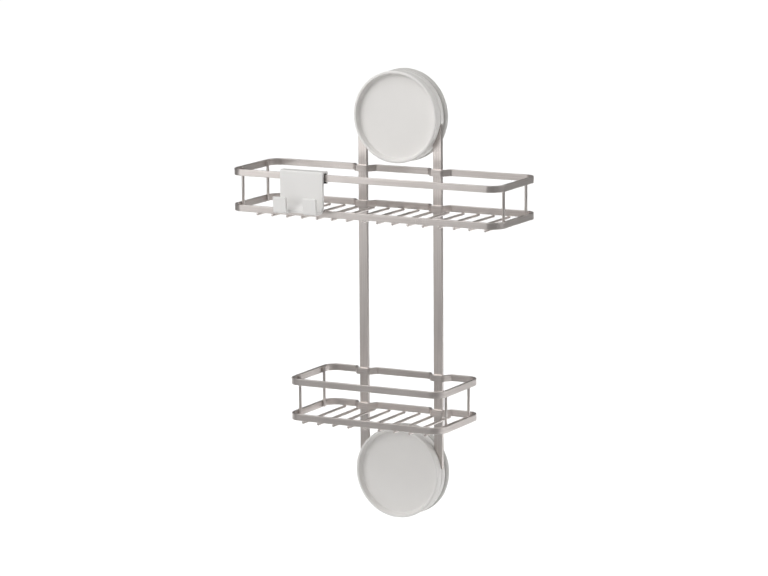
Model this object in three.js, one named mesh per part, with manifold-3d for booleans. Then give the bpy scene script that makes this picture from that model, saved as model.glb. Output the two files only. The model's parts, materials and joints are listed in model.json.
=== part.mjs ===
// Two-tier wall caddy on two twist-lock suction pads, with a double hook on the upper front rail.
// Units are millimetres. +X is to the right of someone facing the wall, +Y points into the wall
// and +Z is up. The origin is the centre of the upper pad's wall face, so the wall is y = 0.
import * as THREE from "three";
import { mergeVertices } from "three/addons/utils/BufferGeometryUtils.js";
import Module from "manifold-3d";

const wasm = await Module();
wasm.setup();

// Driving dimensions.
const UPPER_WIDTH = 320;          // outer width of the wide shelf
const LOWER_WIDTH = 185;          // outer width of the narrow shelf
const SHELF_BACK = -8;            // outer back face of both shelves
const SHELF_FRONT = -104;         // outer front face of both shelves
const CORNER_R = 15;              // outer corner radius of the shelf rails
const RAIL_T = 3;                 // rail bar thickness
const RAIL_H = 7;                 // rail bar height
const RAIL_EDGE = 0.5;            // broken edge of the rail bar
const UPPER_TOP = -55;            // top edges of the rails, measured from the upper pad centre
const UPPER_BOTTOM = -93.5;
const LOWER_TOP = -277.5;
const LOWER_BOTTOM = -316;
const LOWER_PAD_Z = -388;         // centre of the lower pad

const UPRIGHT_X = 45;             // centre line of each upright bar, left and right
const UPRIGHT_W = 10;
const UPRIGHT_T = 4;
const UPRIGHT_FRONT = -17;        // front face of the upright bars
const UPRIGHT_END = 7;            // the bars stop this far short of each pad centre
const JOGGLE_FLAT = 6.5;          // half length of the flat that crosses an upright
const JOGGLE_RUN = 6.5;           // sideways run of each sloping return
const JOGGLE_BEND = 3;            // bend radius on the bar's centre line
const WELD_GAP = 0.1;             // clearance left at each weld line

const WIRE_D = 3;                 // floor wires
const UPPER_WIRES = 16;
const UPPER_PITCH = 18;
const UPPER_FIRST = -126;         // the left end bay is one pitch wider than the rest
const LOWER_WIRES = 9;
const LOWER_PITCH = 18.3;
const POST_D = 3.2;               // corner posts
const POST_REACH = 27;            // posts stand this far in front of and behind mid depth

const ROUND_SIDES = 36;           // facets round each turned part
const CAP_R = 49.5;               // twist cap and housing
const PAD_R = 50;                 // soft pad
const STUD_R = 4;
const BORE_R = 4.7;               // clearance round the stud

const HOOK_X = -69.6;             // hook centre where it hangs
const HOOK_W = 51.2;
const LIP_W = 15.2;               // width of each upturned lip

const MATERIALS = {
  nickel: { color: 0xb8afab, roughness: 0.34, metalness: 0.95 },
  whitePlastic: { color: 0xdedbd6, roughness: 0.48, metalness: 0 },
  softPad: { color: 0xb3b2ad, roughness: 0.55, metalness: 0 },
  liner: { color: 0x3a3836, roughness: 0.8, metalness: 0 },
  zinc: { color: 0x9a9a98, roughness: 0.4, metalness: 0.9 },
};

const caddy = new THREE.Group();

function addMesh(parent, name, geometry, look) {
  const mesh = new THREE.Mesh(geometry, new THREE.MeshStandardMaterial(MATERIALS[look]));
  mesh.name = name;
  parent.add(mesh);
  return mesh;
}

// ---- booleans ----------------------------------------------------------------------------

function toSolid(geometry) {
  const plain = geometry.clone();
  plain.deleteAttribute("normal");
  plain.deleteAttribute("uv");
  const merged = mergeVertices(plain, 1e-4);
  return new wasm.Manifold(new wasm.Mesh({
    numProp: 3,
    vertProperties: new Float32Array(merged.attributes.position.array),
    triVerts: new Uint32Array(merged.index.array),
  }));
}

function toGeometry(solid) {
  const mesh = solid.getMesh();
  const geometry = new THREE.BufferGeometry();
  geometry.setAttribute("position", new THREE.BufferAttribute(mesh.vertProperties, 3));
  geometry.setIndex(new THREE.BufferAttribute(mesh.triVerts, 1));
  geometry.computeVertexNormals();
  return geometry;
}

function cutBoxes(geometry, boxes) {
  let solid = toSolid(geometry);
  for (const [low, high] of boxes) {
    const size = high.map((v, i) => v - low[i]);
    const box = new THREE.BoxGeometry(...size);
    box.translate(...low.map((v, i) => v + size[i] / 2));
    solid = solid.subtract(toSolid(box));
  }
  return toGeometry(solid);
}

// ---- shapes ------------------------------------------------------------------------------

// Rounds each corner [x, y, radius] of a closed outline with short straight steps.
function filleted(corners, steps) {
  const out = [];
  corners.forEach(([x, y, r], i) => {
    const here = new THREE.Vector2(x, y);
    const before = corners.at(i - 1);
    const after = corners[(i + 1) % corners.length];
    const u = new THREE.Vector2(before[0] - x, before[1] - y).normalize();
    const v = new THREE.Vector2(after[0] - x, after[1] - y).normalize();
    if (!r) {
      out.push(here);
      return;
    }
    const half = Math.acos(THREE.MathUtils.clamp(u.dot(v), -1, 1)) / 2;
    const cut = r / Math.tan(half);
    const centre = here.clone().addScaledVector(u.clone().add(v).normalize(), r / Math.sin(half));
    const start = here.clone().addScaledVector(u, cut).sub(centre);
    const end = here.clone().addScaledVector(v, cut).sub(centre);
    let sweep = end.angle() - start.angle();
    sweep = Math.atan2(Math.sin(sweep), Math.cos(sweep));
    const count = Math.max(2, Math.round(steps * Math.abs(sweep) / (Math.PI / 2)));
    for (let k = 0; k <= count; k += 1) {
      const spoke = start.clone().rotateAround(new THREE.Vector2(), sweep * k / count);
      out.push(centre.clone().add(spoke));
    }
  });
  return out;
}

// Sweeps an upright section [[out, up], ...] along a closed level path: one closed ring.
function sweptRing(path, section) {
  const positions = [];
  path.forEach((point, i) => {
    const before = path.at(i - 1);
    const after = path[(i + 1) % path.length];
    const a = point.clone().sub(before).normalize();
    const b = after.clone().sub(point).normalize();
    const n = new THREE.Vector2(a.y + b.y, -a.x - b.x).normalize();
    const stretch = 1 / n.dot(new THREE.Vector2(a.y, -a.x));
    for (const [out, up] of section) {
      positions.push(point.x + n.x * out * stretch, point.y + n.y * out * stretch, up);
    }
  });
  const m = section.length;
  const index = [];
  path.forEach((_, i) => {
    const j = (i + 1) % path.length;
    for (let k = 0; k < m; k += 1) {
      const l = (k + 1) % m;
      index.push(i * m + k, j * m + k, j * m + l, i * m + k, j * m + l, i * m + l);
    }
  });
  const geometry = new THREE.BufferGeometry();
  geometry.setAttribute("position", new THREE.Float32BufferAttribute(positions, 3));
  geometry.setIndex(index);
  geometry.computeVertexNormals();
  return geometry;
}

// Turns a profile [[radius, y], ...] about the y axis.
function turned(profile, sides = ROUND_SIDES) {
  return new THREE.LatheGeometry(profile.map(([r, y]) => new THREE.Vector2(r, y)), sides);
}

// Round rod along y, centred on the origin.
function rod(diameter, length) {
  return new THREE.CylinderGeometry(diameter / 2, diameter / 2, length, 10);
}

function outline(points) {
  return new THREE.Shape(points.map((p) => (p.isVector2 ? p : new THREE.Vector2(...p))));
}

// ---- shelves -----------------------------------------------------------------------------

function railPath(width) {
  const x = width / 2 - RAIL_T / 2;
  const front = SHELF_FRONT + RAIL_T / 2;
  const back = SHELF_BACK - RAIL_T / 2;
  const crossing = UPRIGHT_FRONT - WELD_GAP - RAIL_T / 2;
  const r = CORNER_R - RAIL_T / 2;
  const joggle = (centre) => [
    [centre + JOGGLE_FLAT + JOGGLE_RUN, back, JOGGLE_BEND],
    [centre + JOGGLE_FLAT, crossing, JOGGLE_BEND],
    [centre - JOGGLE_FLAT, crossing, JOGGLE_BEND],
    [centre - JOGGLE_FLAT - JOGGLE_RUN, back, JOGGLE_BEND],
  ];
  return filleted([
    [-x, front, r], [x, front, r], [x, back, r],
    ...joggle(UPRIGHT_X), ...joggle(-UPRIGHT_X), [-x, back, r],
  ], 5);
}

function railGeometry(width) {
  const o = RAIL_T / 2;
  const e = RAIL_EDGE;
  const h = RAIL_H;
  return sweptRing(railPath(width), [
    [o, -h + e], [o, -e], [o - e, 0], [e - o, 0], [-o, -e], [-o, -h + e], [e - o, -h], [o - e, -h],
  ]);
}

function addShelf(name, width, top, bottom, firstWire, wires, pitch) {
  const shelf = new THREE.Group();
  caddy.add(shelf);
  const rail = railGeometry(width);
  addMesh(shelf, `${name}_top_rail`, rail, "nickel").position.z = top;
  addMesh(shelf, `${name}_bottom_rail`, rail, "nickel").position.z = bottom;

  const middle = (SHELF_BACK + SHELF_FRONT) / 2;
  const postX = width / 2 - RAIL_T - WELD_GAP - POST_D / 2;
  const postLow = bottom - RAIL_H + 0.6;
  const postHigh = top - 0.8;
  for (const [end, side] of [["front", -1], ["back", 1]]) {
    for (const [hand, sign] of [["left", -1], ["right", 1]]) {
      const post = addMesh(shelf, `${name}_post_${end}_${hand}`,
        rod(POST_D, postHigh - postLow), "nickel");
      post.rotation.x = Math.PI / 2;
      post.position.set(sign * postX, middle + side * POST_REACH, (postHigh + postLow) / 2);
    }
  }

  const wireZ = bottom - RAIL_H - WELD_GAP - WIRE_D / 2;
  for (let i = 0; i < wires; i += 1) {
    const label = String(i + 1).padStart(2, "0");
    const wire = addMesh(shelf, `${name}_wire_${label}`,
      rod(WIRE_D, SHELF_BACK - SHELF_FRONT), "nickel");
    wire.position.set(firstWire + i * pitch, middle, wireZ);
  }
}

addShelf("upper", UPPER_WIDTH, UPPER_TOP, UPPER_BOTTOM, UPPER_FIRST, UPPER_WIRES, UPPER_PITCH);
addShelf("lower", LOWER_WIDTH, LOWER_TOP, LOWER_BOTTOM,
  -LOWER_PITCH * (LOWER_WIRES - 1) / 2, LOWER_WIRES, LOWER_PITCH);

// ---- uprights ----------------------------------------------------------------------------

for (const [hand, sign] of [["left", -1], ["right", 1]]) {
  const w = UPRIGHT_W / 2;
  const t = UPRIGHT_T / 2;
  const bar = new THREE.ExtrudeGeometry(
    outline(filleted([[-w, -t, 0.6], [w, -t, 0.6], [w, t, 0.6], [-w, t, 0.6]], 2)),
    { depth: -LOWER_PAD_Z - 2 * UPRIGHT_END, bevelEnabled: false },
  );
  addMesh(caddy, `upright_${hand}`, bar, "nickel")
    .position.set(sign * UPRIGHT_X, UPRIGHT_FRONT + t, LOWER_PAD_Z + UPRIGHT_END);
}

// ---- suction units -----------------------------------------------------------------------

// The bars reach a unit from `reach` = -1 (below it) or 1 (above it).
function addSuctionUnit(name, z, reach) {
  const unit = new THREE.Group();
  unit.position.z = z;
  caddy.add(unit);

  addMesh(unit, `${name}_pad`, turned([
    [0, -1.8], [11.8, -1.8], [11.8, -6.5], [BORE_R, -6.5], [BORE_R, -8.3], [14.5, -8.3],
    [14.5, -6.2], [46.5, -6.2], [48.8, -5.8], [PAD_R, -4.6], [PAD_R, -0.8], [PAD_R - 0.8, 0],
    [0, 0],
  ]), "softPad");

  addMesh(unit, `${name}_stud`, turned([
    [0, -20.1], [STUD_R - 0.5, -20.1], [STUD_R, -19.6], [STUD_R, -6.2], [11, -6.2],
    [11, -4.8], [0, -4.8],
  ], 16), "zinc");

  const housing = turned([
    [4.9, -10.6], [46.6, -10.6], [46.8, -16.9], [CAP_R, -16.9], [CAP_R, -9.8], [48.3, -8.8],
    [41.6, -8.6], [41.2, -6.5], [38.4, -6.5], [38, -8.6], [4.9, -8.6], [4.9, -10.6],
  ]);
  const near = UPRIGHT_END - 0.4;
  const notches = [-1, 1].map((side) => {
    const xs = [side * (UPRIGHT_X - UPRIGHT_W / 2 - 0.4), side * (UPRIGHT_X + UPRIGHT_W / 2 + 2)];
    const zs = [reach * near, reach * 60];
    return [[Math.min(...xs), -18, Math.min(...zs)], [Math.max(...xs), -12.6, Math.max(...zs)]];
  });
  addMesh(unit, `${name}_housing`, cutBoxes(housing, notches), "whitePlastic");

  const plateR = 45.6;
  const low = -12;
  const high = 17;
  const angle = (h) => Math.asin(h / plateR);
  const rim = [];
  const arcSteps = 5;
  for (const side of [1, -1]) {
    for (let k = 0; k <= arcSteps; k += 1) {
      const from = side > 0 ? angle(low) : Math.PI - angle(high);
      const to = side > 0 ? angle(high) : Math.PI - angle(low);
      const a = from + (to - from) * k / arcSteps;
      rim.push([plateR * Math.cos(a), plateR * Math.sin(a)]);
    }
  }
  const plateShape = outline(rim);
  plateShape.holes.push(new THREE.Path().absarc(0, 0, BORE_R, 0, 2 * Math.PI, true));
  const plate = new THREE.ExtrudeGeometry(plateShape,
    { depth: 2, bevelEnabled: false, curveSegments: 12 });
  const plateMesh = addMesh(unit, `${name}_mount_plate`, plate, "nickel");
  plateMesh.rotation.x = reach > 0 ? Math.PI / 2 : -Math.PI / 2;
  plateMesh.position.y = reach > 0 ? -10.8 : -12.8;

  addMesh(unit, `${name}_cap`, turned([
    [0, -21.5], [44.6, -21.5], [45.6, -22.3], [46.4, -26.6], [47, -27.6], [48, -28],
    [49, -27.6], [CAP_R, -26.6], [CAP_R, -17.9], [49, -17.4], [46.3, -17.4], [46, -19.2],
    [9.5, -19.2], [9.5, -17.7], [BORE_R, -17.7], [BORE_R, -20.6], [0, -20.6],
  ]), "whitePlastic");
}

addSuctionUnit("upper", 0, -1);
addSuctionUnit("lower", LOWER_PAD_Z, 1);

// ---- double hook -------------------------------------------------------------------------

const railInner = SHELF_FRONT + RAIL_T;

function extrudedAlongX(points, width) {
  const geometry = new THREE.ExtrudeGeometry(outline(points),
    { depth: width, bevelEnabled: false });
  // The profile is drawn in (y, z): turn its plane upright and its depth along +x.
  geometry.applyMatrix4(new THREE.Matrix4().set(
    0, 0, 1, -width / 2,
    1, 0, 0, 0,
    0, 1, 0, 0,
    0, 0, 0, 1,
  ));
  return geometry;
}

const plateBack = SHELF_FRONT - 1.8;
const plateFront = plateBack - 3;
const lipFront = SHELF_FRONT - 21;
const lipBack = lipFront + 2.8;
const floorLow = UPPER_TOP - 41;
const floorHigh = floorLow + 2.8;
const hookTop = UPPER_TOP + 3.4;
const channelTop = UPPER_TOP + 1.4;
const legFront = railInner + 1.8;
const legBack = legFront + 2.4;
const legLow = UPPER_TOP - 10;

const hookProfile = filleted([
  [legFront, legLow, 0], [legBack, legLow, 0.6], [legBack, hookTop, 2], [plateFront, hookTop, 2.5],
  [plateFront, floorHigh, 7.2], [lipBack, floorHigh, 2.4], [lipBack, -78.4, 0.6],
  [lipFront, -78.4, 0.6], [lipFront, floorLow, 2.6], [plateBack, floorLow, 7],
  [plateBack, channelTop, 0], [legFront, channelTop, 0],
], 6);
const between = HOOK_W / 2 - LIP_W;
const hook = addMesh(caddy, "hook", cutBoxes(extrudedAlongX(hookProfile, HOOK_W), [
  [[-between, lipFront - 5, floorLow - 5], [between, SHELF_FRONT - 11, -70]],
]), "whitePlastic");
hook.position.x = HOOK_X;

const linerGap = 0.1;
const linerFront = plateBack + linerGap;
const linerBack = legFront - linerGap;
const grip = 0.4;
const liner = addMesh(caddy, "hook_liner", extrudedAlongX([
  [linerFront, legLow + 0.5], [SHELF_FRONT - grip, legLow + 0.5],
  [SHELF_FRONT - grip, UPPER_TOP + 0.3], [railInner + grip, UPPER_TOP + 0.3],
  [railInner + grip, legLow + 0.5], [linerBack, legLow + 0.5],
  [linerBack, channelTop - linerGap], [linerFront, channelTop - linerGap],
], HOOK_W - 0.6), "liner");
liner.position.x = HOOK_X;

export default caddy;
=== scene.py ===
import json
import math
import random

import bmesh
import bpy
from mathutils import Euler, Matrix, Vector


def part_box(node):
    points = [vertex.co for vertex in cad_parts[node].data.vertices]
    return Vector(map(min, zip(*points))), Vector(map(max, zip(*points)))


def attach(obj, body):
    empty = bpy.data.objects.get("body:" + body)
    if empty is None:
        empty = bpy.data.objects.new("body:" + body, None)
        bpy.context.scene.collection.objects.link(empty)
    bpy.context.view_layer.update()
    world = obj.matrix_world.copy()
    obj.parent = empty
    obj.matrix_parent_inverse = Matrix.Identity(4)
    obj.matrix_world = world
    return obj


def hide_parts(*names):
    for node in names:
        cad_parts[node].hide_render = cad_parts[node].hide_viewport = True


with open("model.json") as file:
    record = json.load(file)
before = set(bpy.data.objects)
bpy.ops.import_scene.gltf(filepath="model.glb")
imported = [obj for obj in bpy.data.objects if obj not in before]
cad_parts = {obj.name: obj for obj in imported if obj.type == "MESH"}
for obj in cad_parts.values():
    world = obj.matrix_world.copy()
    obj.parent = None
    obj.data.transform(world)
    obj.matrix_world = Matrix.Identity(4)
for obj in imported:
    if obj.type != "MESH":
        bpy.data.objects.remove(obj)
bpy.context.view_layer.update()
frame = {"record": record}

# Looks for a two-tier wall caddy: satin nickel strip and wire, two white twist-lock suction
# units and a sliding white double hook. Shapes are worked out in millimetres from the CAD
# boxes and scaled to metres as each mesh is made. +X right, +Y into the wall, +Z up.

MM = 0.001


def cad(node):
    """Lowest and highest corner of a CAD node, in millimetres."""
    low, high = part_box(node)
    return low / MM, high / MM


def cad_centre(node):
    """Middle of a CAD node's box, in millimetres."""
    low, high = cad(node)
    return (low + high) / 2


# ---- camera ------------------------------------------------------------------------------

CAMERA_AT = (1.7259, -3.3398, 0.4703)
CAMERA_AZIMUTH = 27.715   # degrees round to the right of straight on
CAMERA_PITCH = 9.945      # degrees down
CAMERA_ROLL = -0.36
CAMERA_LENS = 165.53      # on the default 36 mm sensor
CAMERA_REACH = 60         # the farthest it sees, in metres


def add_camera():
    """A long lens from the right of the caddy, a little above it."""
    data = bpy.data.cameras.new("camera")
    data.lens = CAMERA_LENS
    data.clip_end = CAMERA_REACH
    camera = bpy.data.objects.new("camera", data)
    bpy.context.scene.collection.objects.link(camera)
    aim = Euler((math.radians(90 - CAMERA_PITCH), 0, math.radians(CAMERA_AZIMUTH)))
    roll = Matrix.Rotation(math.radians(CAMERA_ROLL), 4, "Z")
    camera.matrix_world = Matrix.Translation(CAMERA_AT) @ aim.to_matrix().to_4x4() @ roll
    bpy.context.scene.camera = camera


add_camera()


# ---- materials ---------------------------------------------------------------------------

GRAIN = "grain"   # corner attribute: distance along, distance round (mm) and edge closeness


class Nodes:
    """Short hand for building a node material on one Principled shader."""

    def __init__(self, name):
        """Starts the material."""
        self.material = bpy.data.materials.new(name)
        self.material.use_nodes = True
        self.tree = self.material.node_tree
        self.shader = self.tree.nodes["Principled BSDF"]

    def add(self, kind, **values):
        """Adds a node with these settings."""
        node = self.tree.nodes.new(kind)
        for key, value in values.items():
            setattr(node, key, value)
        return node

    def link(self, source, target):
        """Links an output to an input."""
        self.tree.links.new(source, target)

    def object_position(self):
        """Position in the piece's own metres."""
        return self.add("ShaderNodeTexCoord").outputs["Object"]

    def set(self, **sockets):
        """Sets shader sockets that hold one value. An underscore stands for a space."""
        for name, value in sockets.items():
            self.shader.inputs[name.replace("_", " ")].default_value = value

    def feed(self, **sockets):
        """Links outputs to shader sockets."""
        for name, source in sockets.items():
            self.link(source, self.shader.inputs[name.replace("_", " ")])

    def grain(self):
        """The grain attribute."""
        return self.add("ShaderNodeAttribute", attribute_name=GRAIN).outputs["Vector"]

    def stretched(self, vector, scale):
        """A position scaled by a different amount on each axis."""
        node = self.add("ShaderNodeMapping")
        node.inputs["Scale"].default_value = scale
        self.link(vector, node.inputs["Vector"])
        return node.outputs["Vector"]

    def noise(self, vector, scale, detail=2.0, rough=0.5):
        """Cloudy noise at a position."""
        node = self.add("ShaderNodeTexNoise")
        node.inputs["Scale"].default_value = scale
        node.inputs["Detail"].default_value = detail
        node.inputs["Roughness"].default_value = rough
        self.link(vector, node.inputs["Vector"])
        return node.outputs["Fac"]

    def ranged(self, value, low, high, from_low=0.3, from_high=0.7):
        """Maps a noise's usual range, or the one given, to low..high."""
        node = self.add("ShaderNodeMapRange")
        for key, number in (("From Min", from_low), ("From Max", from_high),
                            ("To Min", low), ("To Max", high)):
            node.inputs[key].default_value = number
        self.link(value, node.inputs["Value"])
        return node.outputs["Result"]

    def sum(self, a, b):
        """Two values added."""
        node = self.add("ShaderNodeMath", operation="ADD")
        self.link(a, node.inputs[0])
        self.link(b, node.inputs[1])
        return node.outputs[0]

    def mixed(self, factor, a, b):
        """Blends from a to b. Each is a colour or the output of another node."""
        node = self.add("ShaderNodeMix", data_type="RGBA")
        self.link(factor, node.inputs[0])
        for socket, colour in ((node.inputs[6], a), (node.inputs[7], b)):
            if isinstance(colour, bpy.types.NodeSocket):
                self.link(colour, socket)
            else:
                socket.default_value = (*colour, 1)
        return node.outputs[2]

    def bump(self, height, strength, distance, onto=None):
        """Normals that a height raises, on top of others where these are given."""
        node = self.add("ShaderNodeBump")
        node.inputs["Strength"].default_value = strength
        node.inputs["Distance"].default_value = distance
        self.link(height, node.inputs["Height"])
        if onto is not None:
            self.link(onto, node.inputs["Normal"])
        return node.outputs["Normal"]


def satin_nickel():
    """Brushed, lightly warm plating: streaks run along each bar, and a painted highlight makes the
    broken edges paler, as where they catch the light.
    """
    n = Nodes("satin_nickel")
    grain = n.grain()
    broad = n.noise(n.stretched(grain, (0.012, 0.9, 0)), 1.0, detail=2)
    fine = n.noise(n.stretched(grain, (0.09, 7.0, 0)), 1.0, detail=3, rough=0.6)
    cloud = n.noise(n.object_position(), 38.0, detail=3)
    dark_streak, pale_streak = (0.64, 0.592, 0.566), (0.75, 0.705, 0.68)
    # the second colour here is a painted highlight: the pale tint laid on the rounded edges
    dull_patch, edge_highlight = (0.60, 0.555, 0.53), (0.76, 0.72, 0.70)
    tint = n.mixed(n.ranged(broad, 0, 1), dark_streak, pale_streak)
    tint = n.mixed(n.ranged(cloud, 0, 0.35), tint, dull_patch)
    closeness = n.add("ShaderNodeSeparateXYZ")
    n.link(grain, closeness.inputs[0])
    # painted highlight: blends the rounded edges toward the pale tint by their edge closeness
    tint = n.mixed(n.ranged(closeness.outputs["Z"], 0, 0.5, 0, 1), tint, edge_highlight)
    rough = n.sum(n.ranged(fine, 0.25, 0.37), n.ranged(cloud, 0, 0.06))
    streaks = n.bump(fine, 0.16, 0.00005)
    n.feed(Base_Color=tint, Roughness=rough, Normal=n.bump(cloud, 0.04, 0.0004, streaks))
    n.set(Metallic=1.0, Anisotropic=0.25)
    return n.material


def moulded_white(name, colour, shade, rough):
    """Satin moulded plastic with a spark-eroded micro texture and faint flow clouding."""
    n = Nodes(name)
    where = n.object_position()
    cloud = n.noise(where, 16.0, detail=3)
    speck = n.noise(where, 5200.0, detail=2, rough=0.7)
    texture = n.bump(speck, 0.10, 0.00004)
    n.feed(Base_Color=n.mixed(n.ranged(cloud, 0, 1), colour, shade),
           Roughness=n.ranged(speck, rough - 0.04, rough + 0.05),
           Normal=n.bump(cloud, 0.05, 0.0006, texture))
    n.set(IOR=1.46)
    return n.material


def soft_pad():
    """Milky soft pad: finely matt, and unevenly dense."""
    n = Nodes("soft_pad")
    where = n.object_position()
    cloud = n.noise(where, 24.0, detail=4)
    speck = n.noise(where, 2600.0, detail=2)
    dense, milky = (0.56, 0.55, 0.53), (0.66, 0.65, 0.63)
    n.feed(Base_Color=n.mixed(n.ranged(cloud, 0, 1), dense, milky),
           Roughness=n.ranged(cloud, 0.42, 0.56),
           Normal=n.bump(speck, 0.12, 0.00006))
    n.set(IOR=1.41)
    return n.material


def channel_shade_liner():
    """Matt charcoal rubber with a trace of dust: the charcoal is painted shade, standing in for the
    shade inside the hook's channel.
    """
    n = Nodes("channel_shade_liner")
    where = n.object_position()
    speck = n.noise(where, 1800.0, detail=3)
    dust = n.noise(where, 90.0, detail=2)
    # painted shade: both tones are charcoal to darken the hook's channel; the dust varies them at
    # random
    clean, dusty = (0.085, 0.083, 0.080), (0.135, 0.131, 0.127)
    n.feed(Base_Color=n.mixed(n.ranged(dust, 0, 1), clean, dusty),
           Roughness=n.ranged(speck, 0.62, 0.82),
           Normal=n.bump(speck, 0.3, 0.00008))
    return n.material


def plated_steel():
    """Cool zinc plating over turning marks that run round the stud."""
    n = Nodes("plated_steel")
    cloud = n.noise(n.object_position(), 120.0, detail=3)
    turning = n.noise(n.stretched(n.grain(), (9.0, 0.05, 0)), 1.0, detail=2)
    grey, bright = (0.56, 0.56, 0.57), (0.72, 0.72, 0.71)
    n.feed(Base_Color=n.mixed(n.ranged(cloud, 0, 1), grey, bright),
           Roughness=n.ranged(turning, 0.22, 0.38),
           Normal=n.bump(turning, 0.2, 0.00004))
    n.set(Metallic=1.0)
    return n.material


FINISH = {
    "satin_nickel": satin_nickel(),
    "white_plastic": moulded_white("white_plastic", (0.80, 0.785, 0.765), (0.835, 0.82, 0.80), 0.46),
    "hook_plastic": moulded_white("hook_plastic", (0.80, 0.79, 0.775), (0.835, 0.825, 0.81), 0.36),
    "soft_pad": soft_pad(),
    "hook_liner": channel_shade_liner(),
    "plated_stud": plated_steel(),
}
NODE_SLOT = {s["node"]: s["material_slot"] for s in frame["record"]["subparts"]}
NODE_BODY = {node: body for body, nodes in frame["record"]["behaviour"]["bodies"].items()
             for node in nodes}


# ---- mesh making -------------------------------------------------------------------------

BAR_EDGE_STEP = 22.5   # degrees between points round a bar's broken edge
TINY = 1e-6            # smaller than any measure here


def smooth_below(mesh, degrees):
    """Smooth shading, with every edge sharper than this angle left sharp."""
    mesh.shade_smooth()
    mesh.set_sharp_from_angle(angle=math.radians(degrees))


def new_piece(name, verts, faces, grain=None, sharp=35.0):
    """A mesh object from millimetre points. grain holds one vector for each face corner."""
    mesh = bpy.data.meshes.new(name)
    mesh.from_pydata([Vector(v) * MM for v in verts], [], faces)
    if grain:
        layer = mesh.attributes.new(GRAIN, "FLOAT_VECTOR", "CORNER")
        layer.data.foreach_set("vector", [c for corner in grain for c in corner])
    smooth_below(mesh, sharp)
    piece = bpy.data.objects.new(name, mesh)
    bpy.context.scene.collection.objects.link(piece)
    return piece


def stands_for(piece, node):
    """Gives a finished piece its material and its body, and hides the CAD node that it replaces."""
    piece.data.materials.clear()
    piece.data.materials.append(FINISH[NODE_SLOT[node]])
    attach(piece, NODE_BODY[node])
    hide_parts(node)


def face_outwards(piece):
    """Makes every face of a closed piece face out."""
    edit = bmesh.new()
    edit.from_mesh(piece.data)
    bmesh.ops.recalc_face_normals(edit, faces=edit.faces)
    edit.to_mesh(piece.data)
    edit.free()
    return piece


def applied(piece):
    """Replaces a piece's mesh with what its modifiers make of it."""
    graph = bpy.context.evaluated_depsgraph_get()
    graph.update()
    mesh = bpy.data.meshes.new_from_object(piece.evaluated_get(graph))
    mesh.name = piece.name
    piece.modifiers.clear()
    piece.data = mesh
    return piece


def keep_flats(piece):
    """Weighted normals: flats stay flat beside their rounded edges."""
    weigh = piece.modifiers.new("normals", "WEIGHTED_NORMAL")
    weigh.keep_sharp = True
    return applied(piece)


def filleted(corners, step_degrees=9.0):
    """A closed outline with each corner (x, y, radius) rounded by an arc."""
    out = []
    for i, (x, y, radius) in enumerate(corners):
        here = Vector((x, y))
        if not radius:
            out.append(here)
            continue
        u = (Vector(corners[i - 1][:2]) - here).normalized()
        v = (Vector(corners[(i + 1) % len(corners)][:2]) - here).normalized()
        half = math.acos(max(-1, min(1, u.dot(v)))) / 2
        cut = radius / math.tan(half)
        centre = here + (u + v).normalized() * (radius / math.sin(half))
        start = here + u * cut - centre
        end = here + v * cut - centre
        sweep = math.atan2(start.x * end.y - start.y * end.x, start.dot(end))
        count = max(3, round(abs(math.degrees(sweep)) / step_degrees))
        for k in range(count + 1):
            turn = sweep * k / count
            spoke = Vector((start.x * math.cos(turn) - start.y * math.sin(turn),
                            start.x * math.sin(turn) + start.y * math.cos(turn)))
            out.append(centre + spoke)
    return out


def running_length(points):
    """Distance from the first point to each point, and back to the first, round a loop."""
    total = [0.0]
    for a, b in zip(points, points[1:] + points[:1]):
        total.append(total[-1] + (b - a).length)
    return total


def subdivided(points, longest):
    """Splits the long straight steps of a closed outline."""
    out = []
    for a, b in zip(points, points[1:] + points[:1]):
        parts = max(1, math.ceil((b - a).length / longest))
        out += [a.lerp(b, k / parts) for k in range(parts)]
    return out


def rounded_bar_section(width, height, radius):
    """Bar section centred on 0: points, and 1 for each within a broken edge, 0 on the flats."""
    w, h = width / 2, height / 2
    points = filleted([(w, -h, radius), (w, h, radius), (-w, h, radius), (-w, -h, radius)],
                      BAR_EDGE_STEP)
    reach = radius * 0.98
    closeness = [0.0 if abs(p.x) < w - reach or abs(p.y) < h - reach else 1.0 for p in points]
    return points, closeness


# ---- rails -------------------------------------------------------------------------------

RAIL_T = 3.0
RAIL_EDGE = 0.3      # radius of the strip's broken edges
CORNER_R = 15.0
JOGGLE_FLAT = 6.5    # half of the flat where a rail passes in front of an upright
JOGGLE_RUN = 6.5     # width of the slope beside it
JOGGLE_BEND = 3.0
RAIL_ARC_STEP = 4.5  # degrees between points round a bend
RAIL_STEP = 12.0     # longest straight step
WELD_GAP = 0.1
UPRIGHTS = ("upright_left", "upright_right")


def rail_path(node):
    """Centre line of a rail, seen from above, stepping forward round both uprights."""
    low, high = cad(node)
    x = high.x - RAIL_T / 2
    front = low.y + RAIL_T / 2
    back = high.y - RAIL_T / 2
    crossing = cad("upright_left")[0].y - WELD_GAP - RAIL_T / 2
    r = CORNER_R - RAIL_T / 2
    corners = [(-x, front, r), (x, front, r), (x, back, r)]
    for upright in reversed(UPRIGHTS):
        centre = cad_centre(upright).x
        corners += [
            (centre + JOGGLE_FLAT + JOGGLE_RUN, back, JOGGLE_BEND),
            (centre + JOGGLE_FLAT, crossing, JOGGLE_BEND),
            (centre - JOGGLE_FLAT, crossing, JOGGLE_BEND),
            (centre - JOGGLE_FLAT - JOGGLE_RUN, back, JOGGLE_BEND),
        ]
    corners.append((-x, back, r))
    return subdivided(filleted(corners, RAIL_ARC_STEP), RAIL_STEP)


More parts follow.
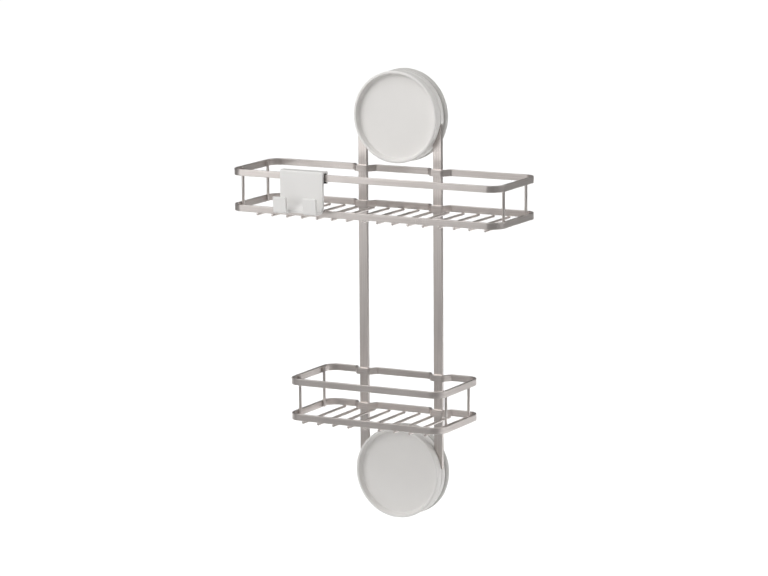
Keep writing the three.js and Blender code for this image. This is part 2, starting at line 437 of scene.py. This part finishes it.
def add_rail(node):
    """Flat strip on edge, bent round the shelf, with its grain running along it."""
    low, high = cad(node)
    path = rail_path(node)
    section, closeness = rounded_bar_section(RAIL_T, high.z - low.z, RAIL_EDGE)
    middle = (low.z + high.z) / 2
    verts = []
    for i, p in enumerate(path):
        a = (p - path[i - 1]).normalized()
        b = (path[(i + 1) % len(path)] - p).normalized()
        n = Vector((a.y + b.y, -a.x - b.x)).normalized()
        stretch = 1 / n.dot(Vector((a.y, -a.x)))
        verts += [(p.x + n.x * q.x * stretch, p.y + n.y * q.x * stretch, middle + q.y)
                  for q in section]
    along = running_length(path)
    round_bar = running_length(section)
    sides = len(section)
    faces, grain = [], []
    for i in range(len(path)):
        here, ahead = i * sides, (i + 1) % len(path) * sides
        for k in range(sides):
            after = (k + 1) % sides
            faces.append((here + k, ahead + k, ahead + after, here + after))
            grain += [(along[i], round_bar[k], closeness[k]),
                      (along[i + 1], round_bar[k], closeness[k]),
                      (along[i + 1], round_bar[k + 1], closeness[after]),
                      (along[i], round_bar[k + 1], closeness[after])]
    stands_for(keep_flats(new_piece(f"{node}.strip", verts, faces, grain)), node)


# ---- straight bars, rods and turned parts ------------------------------------------------

BAR_EDGE = 0.35       # radius of an upright's broken edges
BAR_END_ARC = ((0.05, 0.17), (0.17, 0.05))   # (along, inset) of points on its end edges
BAR_STEPS = 24        # steps along an upright
ROD_SIDES = 24
WIRE_NOSE = 0.6       # radius round a floor wire's end edge
POST_NOSE = 0.5
NOSE_STEPS = 4

def add_upright(node):
    """A flat bar with broken edges along it and rounded ends."""
    low, high = cad(node)
    centre = (low + high) / 2
    size = high - low
    end = [(0, BAR_EDGE), *BAR_END_ARC, (BAR_EDGE, 0.0)]
    inner = size.z - 2 * BAR_EDGE
    rings = [(low.z + along, inset) for along, inset in end]
    rings += [(low.z + BAR_EDGE + inner * k / BAR_STEPS, 0.0) for k in range(1, BAR_STEPS)]
    rings += [(high.z - along, inset) for along, inset in reversed(end)]
    verts = []
    for z, inset in rings:
        section, closeness = rounded_bar_section(size.x - 2 * inset, size.y - 2 * inset, BAR_EDGE)
        verts += [(centre.x + q.x, centre.y + q.y, z) for q in section]
    sides = len(section)
    round_bar = running_length(section)
    faces, grain = [], []
    for i in range(len(rings) - 1):
        here, ahead = i * sides, (i + 1) * sides
        z, next_z = rings[i][0], rings[i + 1][0]
        for k in range(sides):
            after = (k + 1) % sides
            faces.append((here + k, here + after, ahead + after, ahead + k))
            grain += [(z, round_bar[k], closeness[k]),
                      (z, round_bar[k + 1], closeness[after]),
                      (next_z, round_bar[k + 1], closeness[after]),
                      (next_z, round_bar[k], closeness[k])]
    last = (len(rings) - 1) * sides
    for cap in (tuple(range(sides - 1, -1, -1)), tuple(range(last, last + sides))):
        faces.append(cap)
        grain += [(0, round_bar[v % sides], 0) for v in cap]
    stands_for(keep_flats(new_piece(f"{node}.bar", verts, faces, grain)), node)


def turned(name, profile, sides, place, sharp=35.0):
    """Turns (radius, along) points round an axis, and place puts (x, y, along) in the frame.
    A profile runs from axis to axis, or closes on itself."""
    verts, rows = [], []
    for radius, along in profile:
        if radius < TINY:
            rows.append([len(verts)] * sides)
            verts.append(place(0, 0, along))
            continue
        rows.append(list(range(len(verts), len(verts) + sides)))
        for k in range(sides):
            a = 2 * math.pi * k / sides
            verts.append(place(radius * math.cos(a), radius * math.sin(a), along))
    closed = profile[0][0] > TINY
    pairs = list(zip(range(len(rows)), range(1, len(rows))))
    if closed:
        pairs.append((len(rows) - 1, 0))
    lengths = [0.0]
    for i, j in pairs:
        lengths.append(lengths[-1] + math.dist(profile[i], profile[j]))
    faces, grain = [], []
    for n, (i, j) in enumerate(pairs):
        reach = max(profile[i][0], profile[j][0])
        for k in range(sides):
            after = (k + 1) % sides
            ring = [(rows[i][k], lengths[n], k), (rows[i][after], lengths[n], k + 1),
                    (rows[j][after], lengths[n + 1], k + 1), (rows[j][k], lengths[n + 1], k)]
            kept = [c for p, c in enumerate(ring) if c[0] != ring[p - 1][0]]
            faces.append(tuple(vertex for vertex, along, step in kept))
            grain += [(along, 2 * math.pi * step / sides * reach, 0)
                      for vertex, along, step in kept]
    return face_outwards(new_piece(name, verts, faces, grain, sharp))


def rod_profile(half, radius, nose):
    """Straight rod with rounded end edges."""
    end = [(0, -half), (radius - nose, -half)]
    for k in range(1, NOSE_STEPS + 1):
        a = math.pi / 2 * k / NOSE_STEPS
        end.append((radius - nose + nose * math.sin(a), -half + nose - nose * math.cos(a)))
    return end + [(r, -h) for r, h in reversed(end)]


def add_wire(node):
    """Floor wire, lying front to back."""
    low, high = cad(node)
    c = (low + high) / 2
    profile = rod_profile((high.y - low.y) / 2, (high.z - low.z) / 2, WIRE_NOSE)
    stands_for(turned(f"{node}.wire", profile, ROD_SIDES,
                      lambda x, y, along: (c.x + x, c.y + along, c.z - y)), node)


def add_post(node):
    """Upright wire between a shelf's two rails."""
    low, high = cad(node)
    c = (low + high) / 2
    profile = rod_profile((high.z - low.z) / 2, (high.x - low.x) / 2, POST_NOSE)
    stands_for(turned(f"{node}.wire", profile, ROD_SIDES,
                      lambda x, y, along: (c.x + x, c.y + y, c.z + along)), node)


# ---- welds -------------------------------------------------------------------------------

WIRE_WELD = (1.75, 1.15, 0.55)   # half sizes of the bead on a floor wire, under the rail
POST_WELD = (0.5, 1.25, 2.4)     # and of the bead between a post and a rail
BEAD_RINGS = 6
BEAD_SIDES = 12
BEAD_SWELL = 0.05                # how uneven a bead is


def bead(verts, faces, grain, centre, radii, shake):
    """Adds one small closed weld bead, an uneven ellipsoid."""
    base = len(verts)
    verts.append((centre[0], centre[1], centre[2] - radii[2]))
    for i in range(1, BEAD_RINGS):
        tilt = math.pi * i / BEAD_RINGS
        for k in range(BEAD_SIDES):
            turn = 2 * math.pi * k / BEAD_SIDES
            swell = 1 + shake.uniform(-BEAD_SWELL, BEAD_SWELL)
            verts.append((centre[0] + radii[0] * swell * math.sin(tilt) * math.cos(turn),
                          centre[1] + radii[1] * swell * math.sin(tilt) * math.sin(turn),
                          centre[2] - radii[2] * math.cos(tilt)))
    verts.append((centre[0], centre[1], centre[2] + radii[2]))
    top = len(verts) - 1
    made = []
    for k in range(BEAD_SIDES):
        after = (k + 1) % BEAD_SIDES
        made.append((base, base + 1 + after, base + 1 + k))
        for i in range(BEAD_RINGS - 2):
            ring = base + 1 + i * BEAD_SIDES
            above = ring + BEAD_SIDES
            made.append((ring + k, ring + after, above + after, above + k))
        ring = base + 1 + (BEAD_RINGS - 2) * BEAD_SIDES
        made.append((ring + k, ring + after, top))
    faces += made
    grain += [(verts[v][0], verts[v][2], 0) for face in made for v in face]


def add_welds(shelf, wires):
    """Beads where floor wires and posts are welded to the shelf's rails."""
    shake = random.Random(shelf)
    verts, faces, grain = [], [], []
    for i in range(1, wires + 1):
        low, high = cad(f"{shelf}_wire_{i:02d}")
        x = (low.x + high.x) / 2
        for y in (low.y + RAIL_T / 2, high.y - RAIL_T / 2):
            bead(verts, faces, grain, (x, y, high.z - 0.15), WIRE_WELD, shake)
    for end in ("front", "back"):
        for hand, sign in (("left", -1), ("right", 1)):
            post = cad_centre(f"{shelf}_post_{end}_{hand}")
            for rail in (f"{shelf}_top_rail", f"{shelf}_bottom_rail"):
                low, high = cad(rail)
                x = sign * (high.x - RAIL_T - WELD_GAP / 2)
                z = (low.z + high.z) / 2 - 0.2
                bead(verts, faces, grain, (x, post.y, z), POST_WELD, shake)
    piece = new_piece(f"{shelf}_shelf_welds", verts, faces, grain)
    piece.data.materials.append(FINISH["satin_nickel"])
    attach(piece, "frame")


# ---- suction units -----------------------------------------------------------------------
# Distances in the profiles below are radii and heights in front of the wall.

DISC_SIDES = 144
DISC_ARC_STEP = 11.0     # degrees between points round a profile's corners
CAP_R = 49.5             # outer radius of the cap and the housing
CAP_FRONT = 28           # rim of the cap
CAP_BACK = 17.4
CAP_FACE = 21.5          # floor of the cap's dish
HUB_R = 9.5
HOUSING_BORE_R = 4.9
HOUSING_FRONT = 16.9
HOUSING_WEB = (8.6, 10.6)
HOUSING_FOOT = 6.5       # back of the ring that faces the pad
PAD_R = 50
PAD_FRONT = 6.2
GROOVE_RADII = (46.0, 43.0, 40.0)
GROOVE_HALF = 0.5
GROOVE_DEPTH = 0.3
BORE_R = 4.7             # stud holes in the cap, pad and plate
STUD_R = 4.0
STUD_TIP = 20.1
STUD_FLANGE_R = 11
STUD_FLANGE = (4.8, 6.2)
THREAD_PITCH = 1.25
THREAD_DEPTH = 0.5
THREAD_TOP = 19.2
THREAD_END = 9.0


def place_disc(node):
    """Maps turned coordinates to the wall frame: along is the distance in front of the wall."""
    c = cad_centre(node)
    return lambda x, y, along: (c.x + x, -along, c.z + y)


def turned_profile(corners):
    """Rounds the corners of an axis-to-axis or closed profile."""
    return [(p.x, p.y) for p in filleted(corners, DISC_ARC_STEP)]


def add_cap(unit):
    """Twist cap: a shallow dish with a rounded raised rim, and a hub on the stud behind it."""
    node = f"{unit}_cap"
    profile = turned_profile([
        (0, CAP_FACE - 0.15, 0), (20, CAP_FACE - 0.12, 0), (38, CAP_FACE, 0),
        (45.1, CAP_FACE + 0.1, 1.5), (46.75, CAP_FRONT, 0.95), (CAP_R, CAP_FRONT, 1.25),
        (CAP_R, CAP_BACK, 0.5), (46.3, CAP_BACK, 0.2), (46, 19.2, 0.3), (HUB_R, 19.2, 0.4),
        (HUB_R, 17.7, 0.3), (BORE_R, 17.7, 0.2), (BORE_R, 20.6, 0), (0, 20.6, 0),
    ])
    stands_for(turned(f"{node}.dish", profile, DISC_SIDES, place_disc(node), 50), node)


def add_pad(unit):
    """Soft pad with a turned lip and fine sealing grooves in its wall face."""
    node = f"{unit}_pad"
    corners = [
        (0, 1.8, 0), (11.8, 1.8, 0.3), (11.8, 6.5, 0), (BORE_R, 6.5, 0), (BORE_R, 8.3, 0.2),
        (14.5, 8.3, 0.4), (14.5, PAD_FRONT, 0.5), (46.2, PAD_FRONT, 0.6), (48.6, 5.7, 1.2),
        (PAD_R, 4.4, 0.9), (PAD_R, 0, 0.7),
    ]
    for radius in GROOVE_RADII:
        corners += [(radius + GROOVE_HALF, 0, 0), (radius, GROOVE_DEPTH, 0.2),
                    (radius - GROOVE_HALF, 0, 0)]
    corners += [(36, 0, 0), (22, 0, 0), (0, 0, 0)]
    stands_for(turned(f"{node}.disc", turned_profile(corners), DISC_SIDES,
                      place_disc(node)), node)


def add_stud(unit):
    """Stud with a rolled thread above its flange."""
    node = f"{unit}_stud"
    root = STUD_R - THREAD_DEPTH
    profile = [(0, STUD_TIP), (STUD_R - 0.6, STUD_TIP), (STUD_R - 0.1, STUD_TIP - 0.5)]
    along = THREAD_TOP
    while along > THREAD_END:
        profile += [(STUD_R, along), (STUD_R, along - 0.25), (root, along - 0.55),
                    (root, along - 0.8)]
        along -= THREAD_PITCH
    low, high = STUD_FLANGE
    edge = 0.3
    profile += [(STUD_R, along), (STUD_R, high + edge), (STUD_R + edge, high),
                (STUD_FLANGE_R - edge, high), (STUD_FLANGE_R, high - edge),
                (STUD_FLANGE_R, low + edge), (STUD_FLANGE_R - edge, low), (0, low)]
    stands_for(turned(f"{node}.pin", profile, 48, place_disc(node), 30), node)


def box_cutter(low, high):
    """A box between two corners."""
    verts = [(x, y, z) for x in (low[0], high[0]) for y in (low[1], high[1])
             for z in (low[2], high[2])]
    faces = [(0, 1, 3, 2), (4, 6, 7, 5), (0, 4, 5, 1), (2, 3, 7, 6), (0, 2, 6, 4), (1, 5, 7, 3)]
    return new_piece("cutter", verts, faces)


def cut_away(piece, boxes):
    """Cuts boxes out of a piece."""
    for low, high in boxes:
        cutter = box_cutter(low, high)
        cut = piece.modifiers.new("cut", "BOOLEAN")
        cut.operation = "DIFFERENCE"
        cut.solver = "EXACT"
        cut.object = cutter
        applied(piece)
        bpy.data.objects.remove(cutter)
    return piece


def broken_edges(piece, width, angle=40.0, segments=3):
    """Rounds every edge sharper than an angle."""
    bevel = piece.modifiers.new("edges", "BEVEL")
    bevel.width = width * MM
    bevel.segments = segments
    bevel.limit_method = "ANGLE"
    bevel.angle_limit = math.radians(angle)
    bevel.harden_normals = False
    return applied(piece)


NOTCH_OUTER = 2.0          # room beside each bar, away from the middle and toward it
NOTCH_INNER = 0.4
NOTCH_DEPTH = (12.6, 18)
NOTCH_END = 6.6            # from the stud's axis
NOTCH_START = 60           # beyond the rim


def add_housing(unit, reach):
    """Fixed ring behind the cap, notched where the two bars enter. reach is -1 or 1 in z."""
    node = f"{unit}_housing"
    back, web_front = HOUSING_WEB
    profile = turned_profile([
        (HOUSING_BORE_R, web_front, 0.2), (46.6, web_front, 0.6), (46.8, HOUSING_FRONT, 0.3),
        (CAP_R, HOUSING_FRONT, 0.4), (CAP_R, back + 1, 0.9), (48.3, back, 0.6), (41.6, back, 0),
        (41.2, HOUSING_FOOT, 0.3), (38.4, HOUSING_FOOT, 0.3), (38, back, 0),
        (HOUSING_BORE_R, back, 0.2),
    ])
    piece = turned(f"{node}.ring", profile, DISC_SIDES, place_disc(node))
    z = cad_centre(f"{unit}_cap").z
    ends = sorted((z + reach * NOTCH_END, z + reach * NOTCH_START))
    shallow, deep = NOTCH_DEPTH
    boxes = []
    for upright in UPRIGHTS:
        low, high = cad(upright)
        left, right = NOTCH_OUTER, NOTCH_INNER
        if low.x > 0:
            left, right = right, left
        boxes.append(((low.x - left, -deep, ends[0]), (high.x + right, -shallow, ends[1])))
    stands_for(keep_flats(cut_away(piece, boxes)), node)


PLATE_RIM_STEPS = 8
PLATE_HOLE_SIDES = 48
PLATE_EDGE = 0.25


def plate_outlines(centre, low, high):
    """A mount plate's rim and stud hole, as (x, z) points about the stud's axis.
    Its straight sides lie at the top and bottom, and arcs of the rim's radius join them."""
    radius = high.x
    top, bottom = high.z - centre.z, low.z - centre.z
    rim = []
    for sign in (1, -1):
        start, end = (bottom, top) if sign > 0 else (top, bottom)
        for k in range(PLATE_RIM_STEPS + 1):
            h = start + (end - start) * k / PLATE_RIM_STEPS
            rim.append(Vector((sign * math.sqrt(radius ** 2 - h ** 2), h)))
    turns = [2 * math.pi * k / PLATE_HOLE_SIDES for k in range(PLATE_HOLE_SIDES)]
    return rim, [Vector((BORE_R * math.cos(a), BORE_R * math.sin(a))) for a in turns]


def add_mount_plate(unit):
    """Steel plate that joins the two bars behind the cap, with a hole for the stud."""
    node = f"{unit}_mount_plate"
    low, high = cad(node)
    centre = cad_centre(f"{unit}_cap")
    edit = bmesh.new()
    loops = []
    for loop in plate_outlines(centre, low, high):
        points = [edit.verts.new((p.x + centre.x, low.y, p.y + centre.z)) for p in loop]
        loops += [edit.edges.new((a, b)) for a, b in zip(points, points[1:] + points[:1])]
    bmesh.ops.triangle_fill(edit, use_beauty=True, use_dissolve=False, edges=loops)
    made = bmesh.ops.extrude_face_region(edit, geom=edit.faces[:])
    moved = [g for g in made["geom"] if isinstance(g, bmesh.types.BMVert)]
    bmesh.ops.translate(edit, verts=moved, vec=(0, high.y - low.y, 0))
    bmesh.ops.recalc_face_normals(edit, faces=edit.faces)
    bmesh.ops.scale(edit, vec=(MM, MM, MM), verts=edit.verts)
    mesh = bpy.data.meshes.new(node)
    edit.to_mesh(mesh)
    edit.free()
    piece = bpy.data.objects.new(f"{node}.steel", mesh)
    bpy.context.scene.collection.objects.link(piece)
    broken_edges(piece, PLATE_EDGE, segments=2)
    smooth_below(piece.data, 35)
    add_flat_grain(piece)
    stands_for(keep_flats(piece), node)


def add_flat_grain(piece):
    """Grain along x for a piece that has none: x along, and y with z across."""
    mesh = piece.data
    layer = mesh.attributes.new(GRAIN, "FLOAT_VECTOR", "CORNER")
    values = []
    for corner in mesh.loops:
        p = mesh.vertices[corner.vertex_index].co / MM
        values += [p.x, p.z + p.y, 0]
    layer.data.foreach_set("vector", values)


# ---- double hook -------------------------------------------------------------------------

HOOK_GRIP = 1.8          # room between the rail and the moulding, filled by the liner
HOOK_HEADROOM = 1.4      # from the rail's top to the roof of the channel
HOOK_PLATE_T = 3
HOOK_LEG = 10            # how far the back leg hangs below the rail's top
HOOK_EDGE = 0.5
LIP_T = 2.8              # thickness of the lips and of the floor under them
LIP_LEAN = 1.2           # how far a lip's root stands behind its tip
LIP_TOP = -78.4
LIP_WIDTH = 15.2
LIP_GAP_TOP = -70        # above the lips, so the cut leaves two of them
LIP_GAP_BACK = 11        # in front of the rail
SPARE = 5                # what a cut has beyond the moulding
HOOK_ARC_STEP = 7.5      # degrees between points round the outline's corners

LINER_CLEAR = 0.4        # room between the rail and the liner
LINER_ROOF = 0.3
LINER_RIBS = 4
LINER_RIB = 0.2          # height of a rib
LINER_VALLEY = (0.35, 0.65)   # where the flat between two ribs lies, as shares of a step


def extruded_along_x(name, outline, low_x, high_x):
    """Closed (y, z) outline carried from low_x to high_x."""
    around = len(outline)
    verts = [(x, p.x, p.y) for x in (low_x, high_x) for p in outline]
    faces = [(k, (k + 1) % around, around + (k + 1) % around, around + k) for k in range(around)]
    faces += [tuple(range(around - 1, -1, -1)), tuple(range(around, 2 * around))]
    return face_outwards(new_piece(name, verts, faces))


def add_hook():
    """J-shaped moulding: a channel over the rail, a plate, and two upturned lips."""
    low, high = cad("hook")
    rail_low, rail_high = cad("upper_top_rail")
    plate_back = rail_low.y - HOOK_GRIP
    plate_front = plate_back - HOOK_PLATE_T
    lip_front = low.y
    lip_back = lip_front + LIP_T
    floor_high = low.z + LIP_T
    leg_front = rail_low.y + RAIL_T + HOOK_GRIP
    leg_low = rail_high.z - HOOK_LEG
    roof = rail_high.z + HOOK_HEADROOM
    outline = filleted([
        (leg_front, leg_low, 0.4), (high.y, leg_low, 0.8), (high.y, high.z, 2.0),
        (plate_front, high.z, 1.6), (plate_front, floor_high, 7.2),
        (lip_back + LIP_LEAN, floor_high, 2.4), (lip_back, LIP_TOP, 0.7),
        (lip_front, LIP_TOP, 0.7), (lip_front + LIP_LEAN, low.z, 2.6),
        (plate_back, low.z, 7.0), (plate_back, roof, 0.4), (leg_front, roof, 0.4),
    ], HOOK_ARC_STEP)
    piece = extruded_along_x("hook.moulding", outline, low.x, high.x)
    gap = ((low.x + LIP_WIDTH, lip_front - SPARE, low.z - SPARE),
           (high.x - LIP_WIDTH, rail_low.y - LIP_GAP_BACK, LIP_GAP_TOP))
    cut_away(piece, [gap])
    broken_edges(piece, HOOK_EDGE, angle=38)
    smooth_below(piece.data, 50)
    stands_for(keep_flats(piece), "hook")


def add_liner():
    """Grip strip in the channel, with small ribs toward the rail."""
    low, high = cad("hook_liner")
    rail_low, rail_high = cad("upper_top_rail")
    front = rail_low.y - LINER_CLEAR
    back = rail_low.y + RAIL_T + LINER_CLEAR
    roof = rail_high.z + LINER_ROOF
    step = (roof - low.z) / LINER_RIBS
    up, down = [], []
    for k in range(LINER_RIBS):
        z = low.z + step * k
        start, end = (z + step * share for share in LINER_VALLEY)
        up += [(front - LINER_RIB, z, 0), (front, start, 0), (front, end, 0)]
        down = [(back, end, 0), (back, start, 0), (back + LINER_RIB, z, 0)] + down
    outline = filleted([(low.y, low.z, 0), *up, (front - LINER_RIB, roof, 0),
                        (back + LINER_RIB, roof, 0), *down, (high.y, low.z, 0),
                        (high.y, high.z, 0), (low.y, high.z, 0)])
    stands_for(extruded_along_x("hook_liner.strip", outline, low.x, high.x), "hook_liner")


# ---- build everything --------------------------------------------------------------------

SHELVES = {"upper": 16, "lower": 9}
BAR_SIDE = {"upper": -1, "lower": 1}   # the bars reach the upper unit from below

for upright in UPRIGHTS:
    add_upright(upright)
for shelf, wires in SHELVES.items():
    for level in ("top", "bottom"):
        add_rail(f"{shelf}_{level}_rail")
    for end in ("front", "back"):
        for hand in ("left", "right"):
            add_post(f"{shelf}_post_{end}_{hand}")
    for number in range(1, wires + 1):
        add_wire(f"{shelf}_wire_{number:02d}")
    add_welds(shelf, wires)
for unit, reach in BAR_SIDE.items():
    add_pad(unit)
    add_stud(unit)
    add_housing(unit, reach)
    add_mount_plate(unit)
    add_cap(unit)
add_hook()
add_liner()


# ---- studio ------------------------------------------------------------------------------

FLOOR_Z = -0.95
FLOOR_HALF = 40
SOFTBOX_AIM = (0, 0, -0.2)
PANEL_HEIGHT = 3.0        # of the floor lights, above the floor
PANEL_SPREAD = 60
WORLD_COLOUR = (1.0, 0.985, 0.97, 1)
WORLD_STRENGTH = 0.18


def add_floor():
    """A wide pale grey floor, well below the caddy."""
    mesh = bpy.data.meshes.new("floor")
    corners = [(-FLOOR_HALF, -FLOOR_HALF), (FLOOR_HALF, -FLOOR_HALF), (FLOOR_HALF, FLOOR_HALF),
               (-FLOOR_HALF, FLOOR_HALF)]
    mesh.from_pydata([(x, y, FLOOR_Z) for x, y in corners], [], [(0, 1, 2, 3)])
    floor = bpy.data.objects.new("floor", mesh)
    bpy.context.scene.collection.objects.link(floor)
    n = Nodes("floor")
    cloud = n.noise(n.object_position(), 0.6, detail=2)
    grey, pale = (0.86, 0.86, 0.86), (0.88, 0.88, 0.88)
    n.feed(Base_Color=n.mixed(n.ranged(cloud, 0, 1), grey, pale))
    n.set(Roughness=0.9)
    mesh.materials.append(n.material)


def add_panel(name, size, power, location, rotation, spread=180):
    """A rectangular area light. spread is in degrees."""
    data = bpy.data.lights.new(name, "AREA")
    data.shape = "RECTANGLE"
    data.size, data.size_y = size
    data.energy = power
    data.spread = math.radians(spread)
    lamp = bpy.data.objects.new(name, data)
    bpy.context.scene.collection.objects.link(lamp)
    lamp.location = location
    lamp.rotation_euler = rotation


def add_softbox(name, azimuth, elevation, distance, size, power):
    """A panel seen from the caddy at an azimuth (0 is straight in front, positive right)."""
    a, e = math.radians(azimuth), math.radians(elevation)
    toward = Vector((math.sin(a) * math.cos(e), -math.cos(a) * math.cos(e), math.sin(e)))
    location = Vector(SOFTBOX_AIM) + toward * distance
    add_panel(name, size, power, location, toward.to_track_quat("Z", "Y").to_euler())


def add_floor_light(name, azimuth, reach, size, power):
    """A low panel that lights a stretch of floor and little else, reach metres from the caddy."""
    a = math.radians(azimuth)
    location = (math.sin(a) * reach, -math.cos(a) * reach, FLOOR_Z + PANEL_HEIGHT)
    add_panel(name, size, power, location, (0, 0, a), PANEL_SPREAD)


def add_world():
    """A faint warm white all round."""
    world = bpy.data.worlds.new("studio")
    world.use_nodes = True
    background = world.node_tree.nodes["Background"]
    background.inputs["Color"].default_value = WORLD_COLOUR
    background.inputs["Strength"].default_value = WORLD_STRENGTH
    bpy.context.scene.world = world


add_world()
add_softbox("front_left", -37, 17, 1.75, (1.2, 1.3), 9.9)
add_softbox("top_front", -22, 50, 2.3, (1.7, 1.7), 21.5)
add_softbox("front_high", 10, 32, 2.6, (1.6, 1.2), 6)
add_softbox("overhead", 0, 86, 2.3, (1.8, 1.8), 5.5)
add_softbox("right_back", 120, 28, 2.4, (1.4, 1.6), 15)
add_floor_light("floor_right", 112, 2.1, (2.4, 2.4), 30)
add_floor_light("backdrop", 180 + CAMERA_AZIMUTH, 7.7, (5.4, 13.0), 240)
add_floor()
bpy.context.scene.view_settings.view_transform = "Standard"
